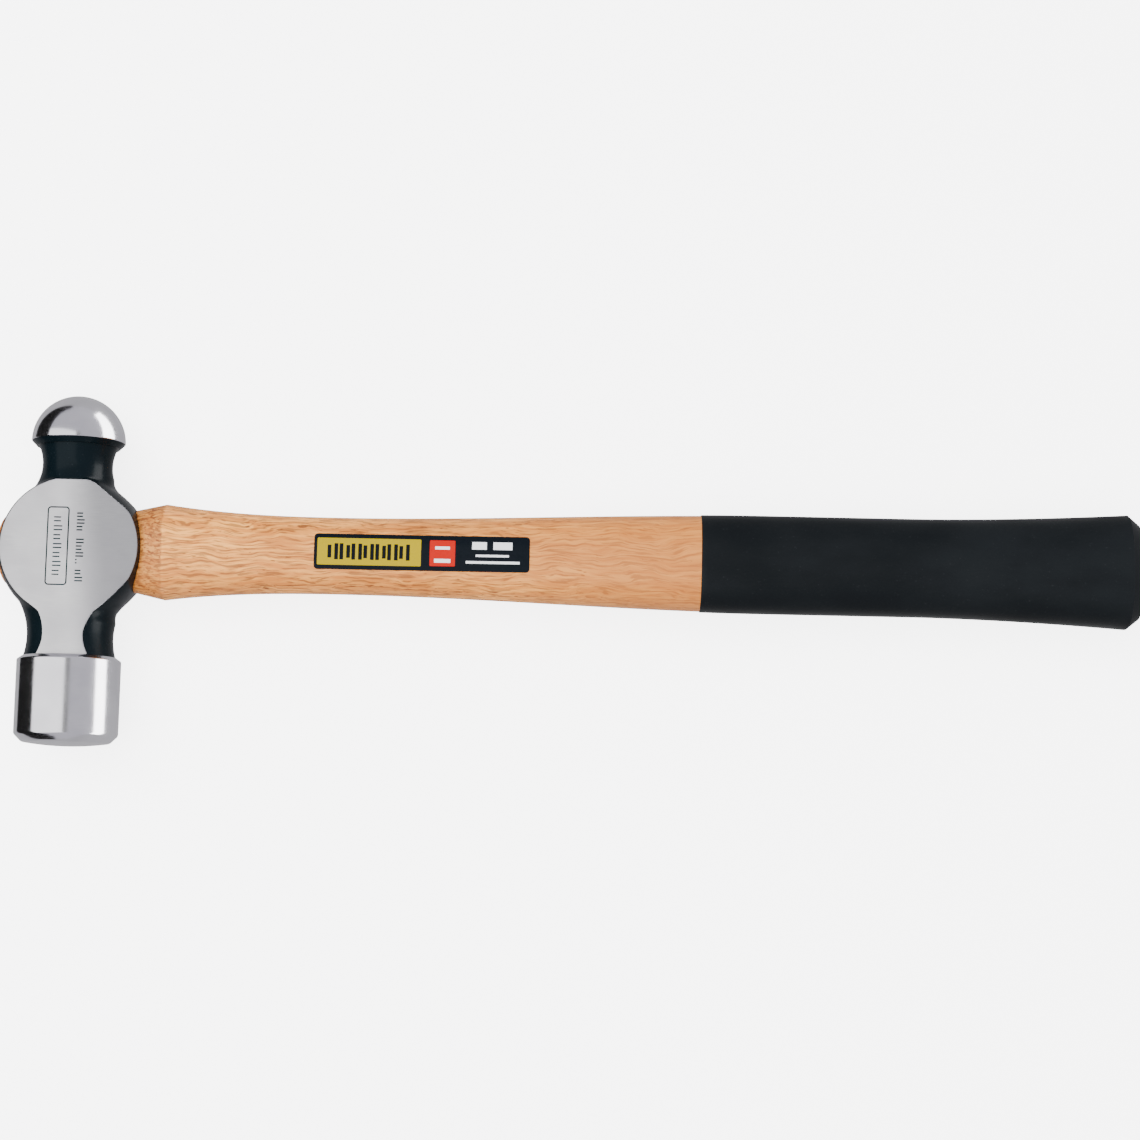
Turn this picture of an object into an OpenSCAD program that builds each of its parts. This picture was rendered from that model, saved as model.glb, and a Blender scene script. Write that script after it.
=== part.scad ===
// Ball peen hammer: a forged head on a wedged hardwood handle with a dipped grip.
//
// The hammer lies on its side. X runs from the head along the handle to the butt, Y runs
// from the striking face up to the ball, and Z is the normal of the ground cheeks. Every
// module is drawn about the centre of the eye, and laid_down() moves the result so that
// the origin is the centre of the bottom of the whole hammer.

/* [Ball] */
// Diameter of the ball
ball_d = 34.6; // [29:0.1:42]
// From the round eye section up to the centre of the ball
ball_gap = 13.4; // [12:0.1:16]
// Width of the bevel under the ball's rim
ball_lip = 2.1; // [1:0.1:3]
// Diameter of the ball's neck where it is thinnest
ball_neck_d = 25.8; // [21:0.1:31]
// From the centre of the ball down to the thinnest part of its neck
ball_neck_drop = 8.9; // [6:0.1:11]

/* [Eye section] */
// Diameter of the round eye section, across its crowned sides
boss_d = 54.8; // [45:0.1:66]
// How far the sides of the eye section bulge out between the cheeks
boss_crown = 2.1; // [1:0.1:4]
// Thickness of the head across its two ground cheeks
cheek_t = 28.1; // [23.4:0.1:34]
// Height of the eye
eye_h = 24.6; // [20.5:0.1:30]
// Width of the eye
eye_w = 15.6; // [13:0.1:19]
// How much each side of the eye opens out at its two mouths
eye_flare = 0.8; // [0.3:0.1:1.4]
// Length of the flared stretch at each mouth
eye_flare_len = 12; // [8:0.5:16]

/* [Poll] */
// Diameter of the poll
poll_d = 38.1; // [31.5:0.1:46]
// From the round eye section down to the poll's shoulder
poll_gap = 12.4; // [10:0.1:15]
// Length of the poll from its shoulder to the rim of its face
poll_len = 31.7; // [26:0.1:38.2]
// Height of the bevel on the poll's shoulder
poll_shoulder = 1.3; // [0.6:0.1:2]
// Width of the bevel round the striking face
poll_bevel = 2.9; // [2:0.1:4]
// Diameter of the poll's neck where it is thinnest
poll_neck_d = 31.6; // [26.3:0.1:35]
// From the poll's shoulder up to the thinnest part of its neck
poll_neck_rise = 7.3; // [5:0.1:9]
// How far the striking face is crowned
face_crown = 1.3; // [0.5:0.1:2]

/* [Handle lengths] */
// From the eye's centre to the end of the butt
handle_reach = 396.6; // [330:0.2:476]
// From the head to the ridge where the shoulder ends
shoulder_len = 7; // [4:0.1:12]
// From the eye's centre to the waist
waist_reach = 99; // [80:0.5:119]
// From the waist to where the grip is fully swollen
swell_len = 156; // [128:1:188]
// Length of the flare at the butt
flare_len = 85; // [70:0.5:102]
// Length of the bevel round the end of the butt
butt_bevel_len = 4.3; // [3:0.1:6]
// How far that bevel draws in
butt_bevel_in = 3.5; // [2:0.1:4.2]
// How far the end of the butt is domed
butt_dome = 0.8; // [0.5:0.1:2]

/* [Handle heights and thicknesses] */
// Height of the shoulder where it meets the head
shoulder_h = 32.6; // [29.5:0.1:37]
// Height of the ridge
ridge_h = 35.7; // [32:0.1:43]
// Height of the waist
waist_h = 28.6; // [24:0.1:34]
// Height of the swollen grip
grip_h = 36.1; // [30:0.1:43]
// Height of the butt
butt_h = 42.1; // [36:0.1:51]
// Thickness of the shoulder where it meets the head
shoulder_t = 22; // [20:0.1:24]
// Thickness of the ridge
ridge_t = 25.4; // [22:0.1:27]
// Thickness of the waist
waist_t = 21.6; // [18:0.1:26]
// Thickness of the swollen grip
grip_t = 27; // [22.5:0.1:32]
// Thickness of the butt
butt_t = 31.4; // [26:0.1:35]
// How square the oval section is, where 2 is a plain ellipse
section_power = 2.35; // [2:0.05:3]

/* [Wedges] */
// Depth of the wooden wedge in the tenon
wood_wedge_len = 34; // [28:0.5:41]
// Thickness of the wooden wedge at its thick end
wood_wedge_t = 4.4; // [3.5:0.1:5.4]
// Thickness of the wooden wedge at its thin end
wood_wedge_tip = 1.2; // [0.8:0.1:1.6]
// Length of each steel wedge
steel_wedge_len = 19; // [15:0.5:23]
// Width of each steel wedge
steel_wedge_w = 11.6; // [9.6:0.1:14]
// Thickness of each steel wedge at its thick end
steel_wedge_t = 2.6; // [2:0.1:3.2]
// Thickness of each steel wedge at its thin end
steel_wedge_tip = 0.5; // [0.3:0.1:0.8]
// Distance between the middles of the two steel wedges
steel_wedge_gap = 11.6; // [9.6:0.1:14]

/* [Grip and label] */
// Length of the grip from the end of the butt
grip_len = 163.5; // [136:0.5:197]
// Thickness of the grip's wall
grip_wall = 0.9; // [0.6:0.05:1.5]
// How far the grip stands above the wood beside it
grip_proud = 0.3; // [0:0.05:0.5]
// Thickness of the grip over the end of the butt
grip_end = 1.4; // [1:0.1:2]
// Length of the label
label_len = 79.4; // [66:0.2:96]
// Height of the label
label_h = 13.1; // [10.9:0.1:16]
// Radius of the label's corners
label_corner = 1.3; // [0.5:0.1:2]
// Thickness of the label
label_t = 0.2; // [0.1:0.05:0.4]
// How far the label lies from the middle of the bare wood, towards the butt
label_shift = -3.6; // [-10:0.2:10]
// How far the label lies above the handle's centre line
label_lift = 0.5; // [-2:0.1:2]

/* [Fits] */
// Gap between the tenon and the eye, all round
tenon_gap = 0.08; // [0.03:0.01:0.2]
// How far the trimmed tenon stands out of the eye
tenon_proud = 0.4; // [0:0.1:1.5]
// Gap between the handle's shoulder and the head
shoulder_gap = 0.15; // [0.05:0.01:0.4]
// Gap on each face of every wedge
wedge_gap = 0.04; // [0.02:0.01:0.1]
// Gap between the wood and what is dipped or stuck on it
skin_gap = 0.03; // [0.01:0.01:0.08]

/* [Hidden] */
$fn = 96;

// Half sizes and levels of the head
ball_r = ball_d / 2;
boss_r = boss_d / 2;
poll_r = poll_d / 2;
cheek_z = cheek_t / 2;
ball_neck_r = ball_neck_d / 2;
poll_neck_r = poll_neck_d / 2;
ball_rise = boss_r + ball_gap;
poll_drop = boss_r + poll_gap;
ball_neck_y = ball_rise - ball_neck_drop;
poll_neck_y = -(poll_drop - poll_neck_rise);
face_y = -(poll_drop + poll_len);

// How far under the eye section's surface the necks end
NECK_SINK = 0.4;
// Width of the flat step between the poll's neck and the bevel on its shoulder
SHOULDER_STEP = 0.35;
root_r = boss_r - NECK_SINK;
// A neck is hollowed by an arc that is tangent to a circle just inside the eye section
function neck_arc(neck_r, neck_y) =
    (neck_r * neck_r + neck_y * neck_y - root_r * root_r) / (2 * (root_r - neck_r));
// Level at which that arc meets the circle
function neck_foot(arc, neck_r, neck_y) =
    neck_y * root_r / norm([neck_r + arc, neck_y]);
ball_arc = neck_arc(ball_neck_r, ball_neck_y);
poll_arc = neck_arc(poll_neck_r, poll_neck_y);
shoulder_r = poll_neck_r + poll_arc
    - sqrt(poll_arc * poll_arc - poll_neck_rise * poll_neck_rise);

// Radius of the arc across a crowned surface, from its rise and its half width
function crown_arc(rise, half) = (half * half + rise * rise) / (2 * rise);
boss_arc = crown_arc(boss_crown, cheek_z);
rim_r = poll_r - poll_bevel;
face_arc = crown_arc(face_crown, rim_r);

// Lengths along the handle
butt_x = handle_reach - butt_dome - butt_bevel_len;
grip_x = handle_reach - grip_len;
core_x = handle_reach - grip_end;
flare_x = handle_reach - flare_len;
ridge_reach = boss_r + shoulder_len;
label_x = (ridge_reach + grip_x) / 2 + label_shift;
tenon_root_x = boss_r + 2;
shoulder_x = boss_r / 2;
eye_end = boss_r + 4;

// Sides and rings of the handle's surface
SIDES = 40;
RING_STEP = 7.5;
// Rings on the dome of the butt, and how much of the dome comes before its flat middle
DOME_RINGS = 6;
DOME_REACH = 0.9;
// How quickly the ridge falls to the waist, and the butt flares out
WAIST_FALL = 2.55;
FLARE_RISE = 1.75;
// How far a cutting body runs past what it cuts
PAST = 1;

function clamp01(t) = min(1, max(0, t));
function smooth(t) = t * t * (3 - 2 * t);
// A size of the handle at the distance x from the eye's centre
function handle_size(x, shoulder, ridge, waist, grip, butt) =
    (x < ridge_reach
        ? shoulder + (ridge - shoulder) * (x - boss_r) / shoulder_len
        : x < waist_reach
        ? waist + (ridge - waist)
            * pow(1 - (x - ridge_reach) / (waist_reach - ridge_reach), WAIST_FALL)
        : waist + (grip - waist) * smooth(clamp01((x - waist_reach) / swell_len)))
    + (butt - grip) * pow(clamp01((x - flare_x) / (butt_x - flare_x)), FLARE_RISE);
// How far the bevel draws in at x
function bevel_in(x) = butt_bevel_in * clamp01((x - butt_x) / butt_bevel_len);
// Share of the full size that is left at x on the dome
function dome_share(x) =
    sqrt(1 - clamp01((x - butt_x - butt_bevel_len) / butt_dome) * DOME_REACH);
function half_h(x) = dome_share(x) * (-bevel_in(x)
    + handle_size(x, shoulder_h, ridge_h, waist_h, grip_h, butt_h) / 2);
function half_t(x) = dome_share(x) * (-bevel_in(x)
    + handle_size(x, shoulder_t, ridge_t, waist_t, grip_t, butt_t) / 2);

// Distances of the rings between two ends, close together from the ridge to the waist
function even_steps(a, b, step) = let (n = max(1, ceil((b - a) / step)))
    [for (i = [0 : n - 1]) a + (b - a) * i / n];
function rings(from_x, to_x) = let (
        knee_x = (ridge_reach + waist_reach) / 2,
        dome_x = butt_x + butt_bevel_len)
    concat(
        from_x < ridge_reach ? even_steps(from_x, ridge_reach, RING_STEP) : [],
        from_x < knee_x ? even_steps(max(from_x, ridge_reach), knee_x, RING_STEP / 2) : [],
        even_steps(max(from_x, knee_x), min(butt_x, to_x), RING_STEP),
        to_x > butt_x ? [butt_x] : [],
        to_x > dome_x ? even_steps(dome_x, to_x, butt_dome / DOME_RINGS) : [],
        [to_x]);

// One ring: an oval whose sides are a little flatter than an ellipse's
function oval(power, angle) = sign(power) * pow(abs(power), 2 / section_power);
function ring(x, grow) = [for (i = [0 : SIDES - 1]) let (a = 360 * i / SIDES)
    [x, (half_h(x) + grow) * oval(cos(a), a), (half_t(x) + grow) * oval(sin(a), a)]];

// The handle's outer surface between two distances, grown outwards all round
module handle_body(from_x, to_x, grow = 0) {
    xs = rings(from_x, to_x);
    last = len(xs) - 1;
    sides = [for (k = [0 : last - 1], i = [0 : SIDES - 1]) let (
            a = k * SIDES + i, b = k * SIDES + (i + 1) % SIDES)
        each [[a, b + SIDES, b], [a, a + SIDES, b + SIDES]]];
    start = [for (i = [0 : SIDES - 1]) i];
    end = [for (i = [SIDES - 1 : -1 : 0]) last * SIDES + i];
    polyhedron([for (x = xs) each ring(x, grow)], concat(sides, [start, end]));
}

// Moves what is drawn about the eye so that the origin is under the whole hammer
module laid_down() {
    low_x = -boss_r - tenon_proud;
    translate([
        -(low_x + handle_reach) / 2,
        -(ball_rise + ball_r + face_y - face_crown) / 2,
        max(poll_r, cheek_z, ball_r)])
        children();
}

// Turns a profile drawn upright, with its radius along x, about the head's long axis
module turned() {
    rotate([-90, 0, 0]) rotate_extrude() children();
}

// The round eye section, grown all round, with sides that bulge between the cheeks
module eye_section(grow = 0) {
    rotate_extrude() intersection() {
        translate([boss_r - boss_arc, 0]) circle(boss_arc + grow);
        translate([0, -cheek_z]) square([boss_d, cheek_t]);
    }
}

// A neck's profile between two levels, hollowed by its arc
module neck_profile(neck_r, neck_y, arc, low, high) {
    difference() {
        translate([0, low]) square([neck_r + arc, high - low]);
        translate([neck_r + arc, neck_y]) circle(arc);
    }
}

// The eye's shape along X, an upright slot that opens out at both mouths, grown all round
module eye_shape(grow = 0) {
    r = eye_w / 2 + grow;
    half = (eye_h - eye_w) / 2;
    mouth = boss_r - eye_flare_len;
    wide = r + eye_flare * (eye_end - mouth) / eye_flare_len;
    for (s = [-1, 1]) {
        translate([-mouth, s * half, 0]) rotate([0, 90, 0]) cylinder(h = 2 * mouth, r = r);
        for (m = [-1, 1])
            translate([m * mouth, s * half, 0]) rotate([0, m * 90, 0])
                cylinder(h = eye_end - mouth, r1 = r, r2 = wide);
    }
    rotate([90, 0, 0]) linear_extrude(2 * half, center = true)
        polygon([
            [-eye_end, -wide], [-mouth, -r], [mouth, -r], [eye_end, -wide],
            [eye_end, wide], [mouth, r], [-mouth, r], [-eye_end, wide]]);
}

// A wedge driven in from the far face of the head, thick end first along its face
module wedge_shape(length, thick, tip, width, grow) {
    end_x = -boss_r - tenon_proud - PAST;
    slope = (thick - tip) / 2 / length;
    tip_x = -boss_r + length;
    rotate([90, 0, 0]) linear_extrude(width + 2 * grow, center = true)
        polygon([
            [end_x, -tip / 2 - slope * (tip_x - end_x) - grow], [tip_x, -tip / 2 - grow],
            [tip_x, tip / 2 + grow], [end_x, tip / 2 + slope * (tip_x - end_x) + grow]]);
}

// The wooden wedge's place: flat, across the whole height of the tenon
module wood_wedge_shape(grow = 0) {
    wedge_shape(wood_wedge_len, wood_wedge_t, wood_wedge_tip, boss_d, grow);
}

// The steel wedges' places: upright, across the wooden wedge
module steel_wedge_shapes(grow = 0) {
    for (s = [-1, 1])
        translate([0, s * steel_wedge_gap / 2, 0]) rotate([90, 0, 0])
            wedge_shape(steel_wedge_len, steel_wedge_t, steel_wedge_tip, steel_wedge_w, grow);
}

// What fills the eye, trimmed to the crowned far face of the head
module eye_filling() {
    intersection() {
        eye_shape(-tenon_gap);
        union() {
            eye_section(tenon_proud);
            translate([0, -boss_r, -cheek_z]) cube([tenon_root_x, boss_d, cheek_t]);
        }
    }
}

module hammer_head() {
    color("silver") laid_down() difference() {
        union() {
            eye_section();
            ball();
            necks();
            poll();
        }
        eye_shape();
    }
}

// The half ball, whose rim is bevelled on its underside
module ball() {
    top = ball_rise + ball_r + PAST;
    intersection() {
        translate([0, ball_rise, 0]) rotate([-90, 0, 0]) sphere(ball_r);
        turned() polygon([
            [0, ball_rise - ball_lip], [ball_r - ball_lip, ball_rise - ball_lip],
            [ball_r + PAST, ball_rise + PAST], [ball_r + PAST, top], [0, top]]);
    }
}

// The poll, with its bevels and its crowned striking face
module poll() {
    low = face_y - face_crown;
    intersection() {
        translate([0, low + face_arc, 0]) rotate([-90, 0, 0]) sphere(face_arc);
        turned() polygon([
            [0, -poll_drop], [shoulder_r + SHOULDER_STEP, -poll_drop],
            [poll_r, -poll_drop - poll_shoulder], [poll_r, face_y + poll_bevel],
            [rim_r - face_crown - PAST, low - PAST], [0, low - PAST]]);
    }
}

// The two necks, ground off level with the cheeks, which run on into the ball and the poll
module necks() {
    low = -poll_drop - poll_shoulder;
    high = ball_rise;
    intersection() {
        union() {
            turned() neck_profile(ball_neck_r, ball_neck_y, ball_arc,
                neck_foot(ball_arc, ball_neck_r, ball_neck_y), high);
            turned() neck_profile(poll_neck_r, poll_neck_y, poll_arc,
                low, neck_foot(poll_arc, poll_neck_r, poll_neck_y));
        }
        translate([-boss_d, low, -cheek_z]) cube([2 * boss_d, high - low, cheek_t]);
    }
}

module handle() {
    color("burlywood") laid_down() difference() {
        union() {
            difference() {
                handle_body(shoulder_x, grip_x);
                eye_section(shoulder_gap);
            }
            handle_body(grip_x - PAST, core_x - skin_gap, grip_proud - grip_wall - skin_gap);
            eye_filling();
        }
        wood_wedge_shape();
        steel_wedge_shapes();
    }
}

module wooden_wedge() {
    color("peru") laid_down() difference() {
        intersection() {
            wood_wedge_shape(-wedge_gap);
            eye_filling();
        }
        steel_wedge_shapes();
    }
}

module steel_wedges() {
    color("dimgray") laid_down() intersection() {
        steel_wedge_shapes(-wedge_gap);
        eye_section(tenon_proud);
    }
}

module grip_sleeve() {
    color("#202428") laid_down() difference() {
        handle_body(grip_x, handle_reach, grip_proud);
        handle_body(grip_x - PAST, core_x, grip_proud - grip_wall);
    }
}

module label() {
    corner_x = label_len / 2 - label_corner;
    corner_y = label_h / 2 - label_corner;
    from_x = label_x - label_len / 2 - PAST;
    to_x = label_x + label_len / 2 + PAST;
    color("#10181e") laid_down() intersection() {
        difference() {
            handle_body(from_x, to_x, skin_gap + label_t);
            handle_body(from_x - PAST, to_x + PAST, skin_gap);
        }
        translate([label_x, label_lift, 0]) linear_extrude(waist_t + grip_t) {
            square([label_len, 2 * corner_y], center = true);
            square([2 * corner_x, label_h], center = true);
            for (sx = [-1, 1], sy = [-1, 1])
                translate([sx * corner_x, sy * corner_y]) circle(label_corner);
        }
    }
}

hammer_head();
handle();
wooden_wedge();
steel_wedges();
grip_sleeve();
label();
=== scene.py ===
"""The looks of a ball peen hammer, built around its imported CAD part.

The hammer lies on its side: X runs along the handle to the butt, Y up the head to the
ball, and Z is the normal of the ground cheeks. All sizes are in metres.
"""

import math

import bmesh
import bpy
from mathutils import Matrix, Vector


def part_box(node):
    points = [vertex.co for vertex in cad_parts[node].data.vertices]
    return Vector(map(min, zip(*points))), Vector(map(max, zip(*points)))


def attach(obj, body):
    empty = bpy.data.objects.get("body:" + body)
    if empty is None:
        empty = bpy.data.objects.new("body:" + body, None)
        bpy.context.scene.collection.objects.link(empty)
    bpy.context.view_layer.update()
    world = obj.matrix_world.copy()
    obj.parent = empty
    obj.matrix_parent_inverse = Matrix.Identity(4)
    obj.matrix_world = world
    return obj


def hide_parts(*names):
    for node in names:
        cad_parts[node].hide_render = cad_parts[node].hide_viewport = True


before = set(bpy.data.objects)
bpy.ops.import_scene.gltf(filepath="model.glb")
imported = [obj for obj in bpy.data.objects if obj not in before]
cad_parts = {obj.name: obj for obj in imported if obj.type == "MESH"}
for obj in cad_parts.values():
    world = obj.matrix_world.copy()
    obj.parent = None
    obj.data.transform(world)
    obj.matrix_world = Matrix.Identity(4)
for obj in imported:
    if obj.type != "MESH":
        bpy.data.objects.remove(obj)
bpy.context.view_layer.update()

# --- Hammer head ---------------------------------------------------------------------
# One forging of tool steel: ball, necks, round eye section and poll. It is turned and
# polished at both ends, ground flat on its two cheeks, stamped, and enamelled black
# between. It is driven onto the handle and held by the wedges.
head_low, head_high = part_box("hammer_head")
ball_r = 0.0173
ball_y = 0.0408
ball_lip = 0.0021
ball_neck_r = 0.0129
ball_neck_y = 0.0319
boss_r = 0.0274
boss_crown = 0.0021
cheek_z = 0.01405
root_r = 0.0270
poll_neck_r = 0.0158
poll_neck_y = -0.0325
shoulder_y = -0.0398
poll_r = 0.01905
face_rim_y = -0.0715
face_bevel = 0.0029
face_crown = 0.0013
poll_shoulder = 0.0013
ball_brow_y = 0.02465
cheek_top_y = 0.0335
cheek_edge_round = 0.00016
poll_step = 0.00035
lip_round = 0.00025
shoulder_round = 0.0004
face_round = 0.0007
eye_centre = Vector((
    (head_low.x + head_high.x) / 2,
    head_high.y - ball_y - ball_r,
    (head_low.z + head_high.z) / 2))


def path_to(bm, vert, x, y):
    """Draws a straight edge from the path's last vertex."""
    new = bmesh.ops.extrude_vert_indiv(bm, verts=[vert])["verts"][0]
    new.co = (x, y, 0)
    return new


def path_round(bm, vert, centre, end, steps):
    """Draws an arc from the path's last vertex about centre, to end's direction."""
    start = vert.co.xy - Vector(centre)
    turn = (Vector(end) - Vector(centre)).angle_signed(start)
    made = bmesh.ops.spin(
        bm, geom=[vert], cent=(*centre, 0), axis=(0, 0, 1), angle=turn, steps=steps)
    return next(g for g in made["geom_last"] if isinstance(g, bmesh.types.BMVert))


def turned(bm, axis, steps):
    """Spins a path in the XY plane into a closed turned shape."""
    bmesh.ops.spin(
        bm, geom=bm.verts[:] + bm.edges[:], cent=(0, 0, 0), axis=axis,
        angle=2 * math.pi, steps=steps, use_merge=True)
    bmesh.ops.remove_doubles(bm, verts=bm.verts[:], dist=1e-6)
    bmesh.ops.recalc_face_normals(bm, faces=bm.faces[:])


def piece_of(bm, name):
    """Makes the mesh an object, shaded smooth apart from its sharp edges."""
    for face in bm.faces:
        face.smooth = True
    for edge in bm.edges:
        edge.smooth = len(edge.link_faces) == 2 and edge.calc_face_angle(0) < 0.5
    mesh = bpy.data.meshes.new(name)
    bm.to_mesh(mesh)
    bm.free()
    piece = bpy.data.objects.new(name, mesh)
    bpy.context.scene.collection.objects.link(piece)
    return piece


def combine(piece, tool, operation="DIFFERENCE"):
    """Cuts a piece with a tool, or joins the two, and removes the tool."""
    modifier = piece.modifiers.new("combine", "BOOLEAN")
    modifier.operation = operation
    modifier.solver = "EXACT"
    modifier.object = tool
    bpy.context.view_layer.update()
    result = bpy.data.meshes.new_from_object(
        piece.evaluated_get(bpy.context.evaluated_depsgraph_get()))
    piece.modifiers.remove(modifier)
    old, piece.data = piece.data, result
    bpy.data.meshes.remove(old)
    bpy.data.objects.remove(tool)
    return piece


def blocks(name, boxes, material_index=0):
    """Plain boxes as one cutting tool, each given by two opposite corners."""
    bm = bmesh.new()
    for a, b in boxes:
        low, high = Vector(map(min, a, b)), Vector(map(max, a, b))
        bmesh.ops.create_cube(bm, size=1, matrix=Matrix.LocRotScale(
            (low + high) / 2, None, high - low))
    for face in bm.faces:
        face.material_index = material_index
    return piece_of(bm, name)


def crown_arc(rise, half):
    return (half * half + rise * rise) / (2 * rise)


def neck_arc(neck_r, neck_y):
    return (neck_r ** 2 + neck_y ** 2 - root_r ** 2) / (2 * (root_r - neck_r))


boss_arc = crown_arc(boss_crown, cheek_z)


def boss_reach(z, grow=0.0):
    """Radius of the eye section's crowned side at a height over its middle."""
    return boss_r - boss_arc + math.sqrt((boss_arc + grow) ** 2 - z * z)


def boss_surface(y, angle):
    """Distance from the head's long axis to the eye section's side, or 0 beyond it."""
    widest, tallest = 0.034, 0.022
    low, high = 0.0, min(widest, tallest / max(abs(math.sin(angle)), 1e-6))
    if boss_reach(0) <= abs(y):
        return 0.0
    for halving in range(34):
        middle = (low + high) / 2
        x, z = middle * math.cos(angle), middle * math.sin(angle)
        if x * x + y * y < boss_reach(z) ** 2 and boss_reach(z) > 0:
            low = middle
        else:
            high = middle
    return low


def soft_max(a, b, width):
    near = max(width - abs(a - b), 0) / max(width, 1e-9)
    return max(a, b) + near * near * width / 4


bm = bmesh.new()
vert = bm.verts.new((0, ball_y + ball_r, 0))
vert = path_round(bm, vert, (0, ball_y), (ball_r, ball_y), 30)
rim = vert
vert = path_to(bm, vert, ball_r - ball_lip, ball_y - ball_lip)
arc = neck_arc(ball_neck_r, ball_neck_y)
centre = Vector((ball_neck_r + arc, ball_neck_y))
lip_drop = ball_y - ball_lip - ball_neck_y
vert = path_to(
    bm, vert, centre.x - math.sqrt(arc ** 2 - lip_drop ** 2), ball_y - ball_lip)
vert = path_round(bm, vert, centre, centre * (root_r / centre.length), 34)
arc = neck_arc(poll_neck_r, poll_neck_y)
centre = Vector((poll_neck_r + arc, poll_neck_y))
foot = centre * (root_r / centre.length)
start = vert.co.copy()
for step in range(1, 61):
    point = start.lerp(foot.to_3d(), step / 60)
    vert = path_to(bm, vert, point.x, point.y)
drop = shoulder_y - poll_neck_y
shoulder_foot_r = centre.x - math.sqrt(arc ** 2 - drop ** 2)
vert = path_round(bm, vert, centre, (shoulder_foot_r, shoulder_y), 34)
step_in = path_to(bm, vert, shoulder_foot_r + poll_step, shoulder_y)
shoulder = path_to(bm, step_in, poll_r, shoulder_y - poll_shoulder)
face_rim = path_to(bm, shoulder, poll_r, face_rim_y + face_bevel)
face_edge = path_to(bm, face_rim, poll_r - face_bevel, face_rim_y)
face_arc = crown_arc(face_crown, poll_r - face_bevel)
path_round(
    bm, face_edge, (0, face_rim_y - face_crown + face_arc),
    (0, face_rim_y - face_crown), 10)
for corner, size in (
        (rim, lip_round), (shoulder, shoulder_round), (face_rim, face_round),
        (face_edge, face_round)):
    bmesh.ops.bevel(
        bm, geom=[corner], offset=size, segments=4, profile=0.5, affect="VERTICES",
        material=-1)
turned(bm, (0, 1, 0), 192)

# The turned blank grows out to the round eye section, with soft forged hollows between.
# Hand grinding leans the cheeks a little to the handle and flattens two of their corners.
ball_brow_arc = crown_arc(cheek_z - ball_neck_r, ball_neck_y - ball_brow_y)
corner_cuts = ((1, math.radians(51), 0.02385), (-1, math.radians(45), 0.02440))
corner_free = 0.0034
corner_blend = 0.0008
corner_fade_y = 0.0270
corner_fade = 0.004
boss_blend = 0.0032
brow_low_y = 0.012
brow_blend = 0.0006
lean = 0.0007
lean_fade_y = 0.031
lean_fade = 0.006
for v in bm.verts:
    if shoulder_y + 0.0005 < v.co.y < ball_y - ball_lip - 0.0003:
        angle = math.atan2(v.co.z, v.co.x)
        radius = math.hypot(v.co.x, v.co.z)
        hollow = boss_blend * abs(math.sin(angle)) ** 1.5
        wide = soft_max(radius, boss_surface(v.co.y, angle), hollow)
        v.co.x, v.co.z = wide * math.cos(angle), wide * math.sin(angle)
        if brow_low_y < v.co.y < ball_neck_y:
            below = ball_neck_y - v.co.y
            brow = ball_neck_r + ball_brow_arc - math.sqrt(
                max(ball_brow_arc ** 2 - below ** 2, 1e-9))
            side = math.copysign(1, v.co.z)
            v.co.z = side * -soft_max(-abs(v.co.z), -brow, brow_blend)
        height = min(abs(v.co.z) / cheek_z, 1.2)
        for side, turn, reach in corner_cuts:
            aim = Vector((math.cos(turn), side * math.sin(turn)))
            over = v.co.xy.dot(aim) - reach - corner_free * (1 - height ** 2)
            fade = min(1, max(0, (corner_fade_y - abs(v.co.y)) / corner_fade))
            if over > -corner_blend / 2 and v.co.x > 0:
                over = soft_max(over, 0, corner_blend) * fade
                v.co.x, v.co.y = v.co.x - over * aim.x, v.co.y - over * aim.y
        v.co.x += lean * height ** 2 * min(1, max(0, (lean_fade_y - abs(v.co.y)) / lean_fade))
head = piece_of(bm, "Hammer_head")
past_head = 0.05
cheek_foot_gap = 0.00004
combine(head, blocks("cheek_cut", [
    ((-past_head, shoulder_y + cheek_foot_gap, side * cheek_z),
     (past_head, cheek_top_y, side * past_head))
    for side in (-1, 1)]))
bm = bmesh.new()
bm.from_mesh(head.data)
ground = [f for f in bm.faces if all(abs(abs(v.co.z) - cheek_z) < 1e-6 for v in f.verts)]
outline = {v for f in ground for v in f.verts}
bmesh.ops.remove_doubles(bm, verts=list(outline), dist=cheek_edge_round)
ground = [f for f in bm.faces if all(abs(abs(v.co.z) - cheek_z) < 1e-6 for v in f.verts)]
outline = {e for f in ground for e in f.edges if e.calc_face_angle(0) > 0.2}
rounded = set(bmesh.ops.bevel(
    bm, geom=list(outline), offset=cheek_edge_round, segments=2, profile=0.5, affect="EDGES",
    material=-1, clamp_overlap=False)["faces"])
ball_seam_slack = 0.0002
poll_seam_slack = 0.0001
cheek_band = 0.0002
for face in bm.faces:
    middle = face.calc_center_median()
    if middle.y > ball_y - ball_seam_slack or middle.y < shoulder_y - poll_seam_slack:
        face.material_index = 0
    elif (face in rounded and abs(middle.z) > cheek_z - cheek_band) or (
            abs(face.normal.z) > 0.9999 and abs(middle.z) > cheek_z - 1e-5):
        face.material_index = 1
    else:
        face.material_index = 2
bm.to_mesh(head.data)
bm.free()

# The eye: an upright slot that opens out at both mouths.
eye_clear = 0.004
eye_end = boss_r + eye_clear
eye_mouth_len = 0.012
eye_mouth = boss_r - eye_mouth_len
eye_half_w = 0.0078
eye_lift = 0.0045
eye_flare = 0.0008
eye_slope = eye_flare / eye_mouth_len


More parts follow.
